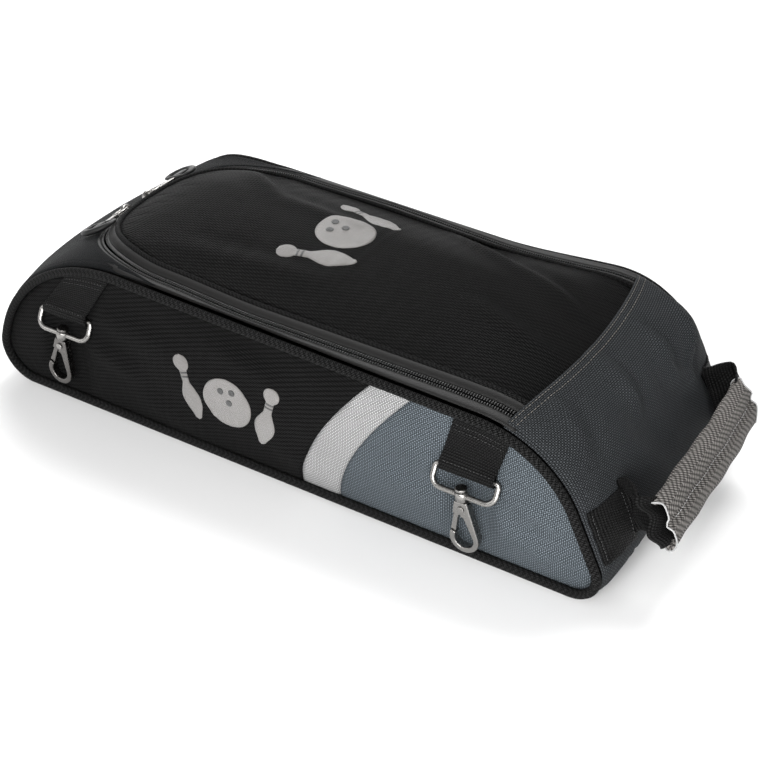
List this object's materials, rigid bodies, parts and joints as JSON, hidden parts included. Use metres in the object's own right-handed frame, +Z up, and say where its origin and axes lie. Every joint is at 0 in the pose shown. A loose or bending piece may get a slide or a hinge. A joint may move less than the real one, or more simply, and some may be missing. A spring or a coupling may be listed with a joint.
{
  "type": "clip-on bowling shoe bag",
  "caption": "Soft rectangular shoe bag with rounded ends, a zipped hinged lid, an end grab handle and swivel snap hooks on webbing tabs at its side panels.",
  "frame": {"origin": "centre of the base on the floor, midway along the side panels' length", "axes": "+X towards the end handle, -Y is the front side panel, +Z up"},
  "size_m": [0.517, 0.2318, 0.1277],
  "materials": {
    "band_black": "smooth binding tape",
    "black_twill": "ballistic twill",
    "blue_grey_weave": "basket weave",
    "board": "stiffener board",
    "charcoal_weave": "basket weave",
    "foam": "closed cell foam",
    "grip_grey": "herringbone webbing",
    "gunmetal": "dark nickel plated",
    "lining_black": "plain woven lining",
    "moulded_black": "moulded rubberised plastic",
    "nickel": "nickel plated",
    "piping_black": "twill covered cord",
    "silver_weave": "fine silver weave",
    "spring_steel": "spring wire",
    "thread": "satin stitch thread",
    "webbing_black": "ribbed webbing",
    "zip_tape": "woven zip tape",
    "zip_teeth": "nylon coil"
  },
  "bodies": {
    "root": {"front_panel": "black_twill", "front_stripe": "silver_weave", "front_corner_panel": "blue_grey_weave", "rear_panel": "black_twill", "rear_stripe": "silver_weave", "rear_corner_panel": "blue_grey_weave", "front_piping": "piping_black", "rear_piping": "piping_black", "toe_panel": "charcoal_weave", "handle_end_panel": "charcoal_weave", "base_panel": "black_twill", "base_board": "board", "lining": "lining_black", "front_foam": "foam", "rear_foam": "foam", "rim_band": "band_black", "frame_zip_tape": "zip_tape", "frame_zip_teeth": "zip_teeth", "side_emblems": "thread", "handle_anchors": "webbing_black", "clip_straps": "webbing_black"},
    "lid": {"lid_panel": "black_twill", "lid_foam": "foam", "lid_lining": "lining_black", "lid_cord": "piping_black", "lid_band": "band_black", "lid_zip_tape": "zip_tape", "lid_zip_teeth": "zip_teeth", "lid_emblem": "thread"},
    "slider_front": {"slider_front": "nickel"},
    "pull_front": {"pull_bar_front": "nickel", "pull_loop_front": "moulded_black"},
    "slider_rear": {"slider_rear": "nickel"},
    "pull_rear": {"pull_bar_rear": "nickel", "pull_loop_rear": "moulded_black"},
    "handle": {"handle_webbing": "webbing_black", "handle_grip": "grip_grey"},
    "ring_front_toe": {"ring_front_toe": "nickel"},
    "hook_front_toe": {"hook_front_toe": "gunmetal", "rivet_front_toe": "nickel"},
    "gate_front_toe": {"gate_front_toe": "gunmetal", "spring_front_toe": "spring_steel"},
    "ring_front_handle": {"ring_front_handle": "nickel"},
    "hook_front_handle": {"hook_front_handle": "nickel", "rivet_front_handle": "nickel"},
    "gate_front_handle": {"gate_front_handle": "nickel", "spring_front_handle": "spring_steel"},
    "ring_rear_toe": {"ring_rear_toe": "nickel"},
    "hook_rear_toe": {"hook_rear_toe": "nickel", "rivet_rear_toe": "nickel"},
    "gate_rear_toe": {"gate_rear_toe": "nickel", "spring_rear_toe": "spring_steel"},
    "ring_rear_handle": {"ring_rear_handle": "nickel"},
    "hook_rear_handle": {"hook_rear_handle": "nickel", "rivet_rear_handle": "nickel"},
    "gate_rear_handle": {"gate_rear_handle": "nickel", "spring_rear_handle": "spring_steel"}
  },
  "joints": [
    {"name": "lid_open", "type": "hinge", "parent": "root", "child": "lid", "pos_m": [0.171, 0, 0.11492], "axis": [0, 1, 0], "range_deg": [0, 150]},
    {"name": "slider_front_travel", "type": "hinge", "parent": "lid", "child": "slider_front", "pos_m": [-0.10692, 0, 0.14667], "axis": [-0.4617, 0, 0.887], "range_deg": [0, 25]},
    {"name": "pull_front_flip", "type": "hinge", "parent": "slider_front", "child": "pull_front", "pos_m": [-0.19168, -0.01198, 0.10976], "axis": [-0.8796, -0.1288, -0.4579], "range_deg": [0, 110]},
    {"name": "slider_rear_travel", "type": "hinge", "parent": "lid", "child": "slider_rear", "pos_m": [-0.10692, 0, 0.14667], "axis": [-0.4617, 0, 0.887], "range_deg": [-25, 0]},
    {"name": "pull_rear_flip", "type": "hinge", "parent": "slider_rear", "child": "pull_rear", "pos_m": [-0.19142, 0.01407, 0.1099], "axis": [0.8768, -0.1513, 0.4564], "range_deg": [0, 110]},
    {"name": "handle_swing", "type": "hinge", "parent": "root", "child": "handle", "pos_m": [0.23035, 0, 0.05129], "axis": [0, 1, 0], "range_deg": [-25, 35]},
    {"name": "ring_front_toe_swing", "type": "hinge", "parent": "root", "child": "ring_front_toe", "pos_m": [-0.173, -0.1049, 0.0745], "axis": [-1, 0, 0], "range_deg": [0, 120]},
    {"name": "hook_front_toe_swivel", "type": "hinge", "parent": "ring_front_toe", "child": "hook_front_toe", "pos_m": [-0.173, -0.11171, 0.0617], "axis": [0.1736, 0, 0.9848], "continuous": true},
    {"name": "gate_front_toe_open", "type": "hinge", "parent": "hook_front_toe", "child": "gate_front_toe", "pos_m": [-0.17461, -0.11171, 0.05254], "axis": [0, -1, 0], "range_deg": [0, 24]},
    {"name": "ring_front_handle_swing", "type": "hinge", "parent": "root", "child": "ring_front_handle", "pos_m": [0.147, -0.1049, 0.067], "axis": [-1, 0, 0], "range_deg": [0, 120]},
    {"name": "hook_front_handle_swivel", "type": "hinge", "parent": "ring_front_handle", "child": "hook_front_handle", "pos_m": [0.147, -0.11171, 0.0542], "axis": [-0.1219, 0, 0.9925], "continuous": true},
    {"name": "gate_front_handle_open", "type": "hinge", "parent": "hook_front_handle", "child": "gate_front_handle", "pos_m": [0.14813, -0.11171, 0.04497], "axis": [0, -1, 0], "range_deg": [0, 24]},
    {"name": "ring_rear_toe_swing", "type": "hinge", "parent": "root", "child": "ring_rear_toe", "pos_m": [-0.173, 0.1049, 0.0745], "axis": [1, 0, 0], "range_deg": [0, 120]},
    {"name": "hook_rear_toe_swivel", "type": "hinge", "parent": "ring_rear_toe", "child": "hook_rear_toe", "pos_m": [-0.173, 0.11171, 0.0617], "axis": [0.1736, 0, 0.9848], "continuous": true},
    {"name": "gate_rear_toe_open", "type": "hinge", "parent": "hook_rear_toe", "child": "gate_rear_toe", "pos_m": [-0.17461, 0.11171, 0.05254], "axis": [0, 1, 0], "range_deg": [-24, 0]},
    {"name": "ring_rear_handle_swing", "type": "hinge", "parent": "root", "child": "ring_rear_handle", "pos_m": [0.147, 0.1049, 0.067], "axis": [1, 0, 0], "range_deg": [0, 120]},
    {"name": "hook_rear_handle_swivel", "type": "hinge", "parent": "ring_rear_handle", "child": "hook_rear_handle", "pos_m": [0.147, 0.11171, 0.0542], "axis": [-0.1219, 0, 0.9925], "continuous": true},
    {"name": "gate_rear_handle_open", "type": "hinge", "parent": "hook_rear_handle", "child": "gate_rear_handle", "pos_m": [0.14813, 0.11171, 0.04497], "axis": [0, 1, 0], "range_deg": [-24, 0]}
  ]
}
